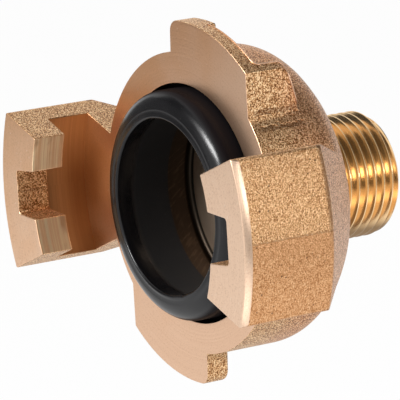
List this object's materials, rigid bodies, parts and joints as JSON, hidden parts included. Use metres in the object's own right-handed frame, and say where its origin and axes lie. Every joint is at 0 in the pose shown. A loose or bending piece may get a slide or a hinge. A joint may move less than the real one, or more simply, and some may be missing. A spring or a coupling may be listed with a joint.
{
  "type": "quarter turn claw hose coupling with male pipe thread",
  "caption": "Brass quarter-turn claw coupling half with hooked claws, flanged wings, a rubber face seal and a male pipe thread.",
  "frame": {"origin": "on the coupling axis, in the plane of the flange face between the two claws", "axes": "+Y along the axis from the mating face to the end of the male thread, X through the middle of the two claws, Z through the wings"},
  "size_m": [0.0586, 0.0389, 0.0478],
  "materials": {
    "coupling_body": "rough cast, with the flange face, claw lips, grooves and thread turned",
    "seal_ring": "moulded black rubber, satin"
  },
  "bodies": {
    "root": {"coupling_body": "coupling_body", "seal_ring": "seal_ring"}
  },
  "joints": []
}
